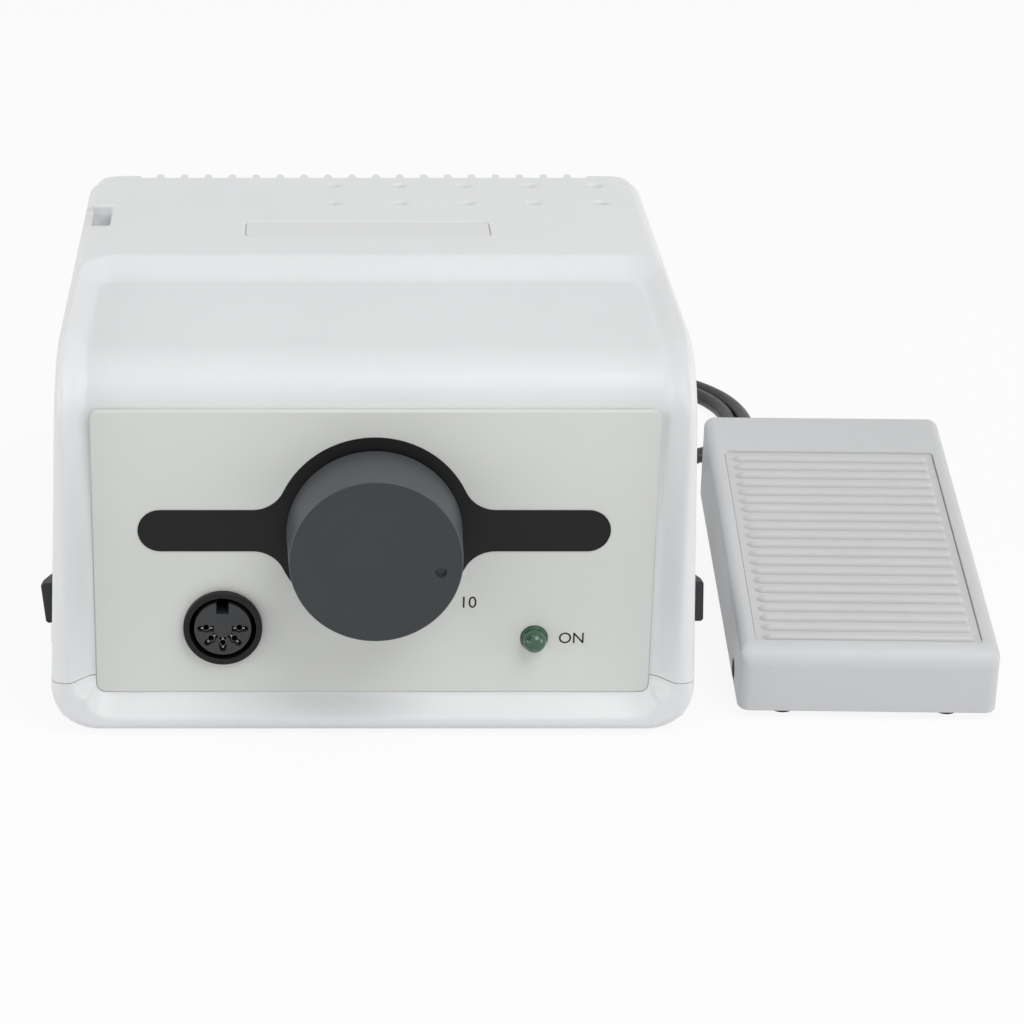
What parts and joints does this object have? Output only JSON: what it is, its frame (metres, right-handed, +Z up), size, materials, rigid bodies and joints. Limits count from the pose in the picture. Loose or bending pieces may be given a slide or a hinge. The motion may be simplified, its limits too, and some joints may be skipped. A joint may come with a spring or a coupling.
{
  "type": "dental micromotor control box with foot pedal",
  "caption": "White bench control box with a large speed knob, a round handpiece socket, side rocker switches and a corded grey foot pedal with a ribbed treadle.",
  "frame": {"origin": "the middle of the footprint of the box and pedal together, on the table, without the cord", "axes": "+X to the right of the box as its user sees it, towards the pedal; +Y from the front panel to the rear; +Z up"},
  "size_m": [0.2068, 0.2297, 0.0864],
  "materials": {
    "white_shell": "white moulded plastic, satin",
    "panel_grey": "light grey panel, fine matt",
    "film_black": "black printed film",
    "plate_grey": "bare light grey plate",
    "knob_grey": "dark grey moulded knob",
    "steel": "plated steel",
    "black_plastic": "black moulded plastic",
    "contact_metal": "plated contacts",
    "lamp_green": "tinted clear lens",
    "core_steel": "varnished laminations",
    "winding_tape": "taped copper winding",
    "board_green": "lacquered circuit board",
    "sink_aluminium": "extruded aluminium",
    "capacitor_blue": "dark blue sleeves",
    "plunger_red": "red plunger",
    "treadle_grey": "grey moulded plastic, fine matt",
    "pad_grey": "grey ribbed pad",
    "foot_rubber": "black rubber",
    "cord_black": "black cord sheath",
    "tie_black": "black tie"
  },
  "bodies": {
    "stand": {"top_cover": "white_shell", "base_housing": "white_shell", "box_feet": "foot_rubber", "case_screws": "steel", "front_panel": "panel_grey", "panel_film": "film_black", "name_plate": "plate_grey", "pot_body": "steel", "pot_nut": "steel", "din_shell": "black_plastic", "din_insert": "black_plastic", "din_contacts": "contact_metal", "din_nut": "steel", "lamp_lens": "lamp_green", "lamp_holder": "black_plastic", "left_switch_frame": "black_plastic", "right_switch_frame": "black_plastic", "switch_terminals": "steel", "transformer_core": "core_steel", "transformer_winding": "winding_tape", "main_board": "board_green", "heat_sink": "sink_aluminium", "power_transistor": "black_plastic", "capacitors": "capacitor_blue", "relay": "capacitor_blue", "mains_inlet": "black_plastic", "inlet_pins": "steel", "fuse_holder": "black_plastic", "fuse_cap": "black_plastic", "pedal_jack": "black_plastic", "jack_nut": "steel", "pedal_base": "treadle_grey", "hinge_pin": "steel", "return_spring": "steel", "foot_switch": "black_plastic", "pedal_feet": "foot_rubber", "pedal_screws": "steel", "cord_grommet": "cord_black", "cord_to_pedal": "cord_black", "cord_coil": "cord_black", "cord_tie": "tie_black", "cord_to_box": "cord_black", "pedal_plug": "black_plastic"},
    "knob": {"speed_knob": "knob_grey", "knob_set_screw": "steel", "pot_shaft": "steel"},
    "left_rocker_body": {"left_rocker": "black_plastic"},
    "right_rocker_body": {"right_rocker": "black_plastic"},
    "treadle_body": {"treadle": "treadle_grey", "treadle_pad": "pad_grey"},
    "plunger_body": {"switch_plunger": "plunger_red"}
  },
  "joints": [
    {"name": "knob_turn", "type": "hinge", "parent": "stand", "child": "knob", "pos_m": [-0.03262, -0.0546, 0.0457], "axis": [0, 1, 0], "range_deg": [-245, 45]},
    {"name": "left_rocker_tip", "type": "hinge", "parent": "stand", "child": "left_rocker_body", "pos_m": [-0.0991, -0.0383, 0.02346], "axis": [0, 1, 0], "range_deg": [0, 16]},
    {"name": "right_rocker_tip", "type": "hinge", "parent": "stand", "child": "right_rocker_body", "pos_m": [0.03386, -0.0383, 0.02346], "axis": [0, 1, 0], "range_deg": [-8, 8]},
    {"name": "treadle_press", "type": "hinge", "parent": "stand", "child": "treadle_body", "pos_m": [0.07378, -0.03863, 0.0062], "axis": [-0.9997, 0.0262, 0], "range_deg": [0, 4], "stiffness_Nm_per_rad": 4, "springref_deg": -3.44, "deforming": ["return_spring"]},
    {"name": "plunger_slide", "type": "slide", "parent": "stand", "child": "plunger_body", "axis": [0, 0, -1], "range_m": [0, 0.0012]}
  ],
  "couplings": [
    {"joint": "plunger_slide", "follows": "treadle_press", "m_per_rad": 0.0162}
  ]
}
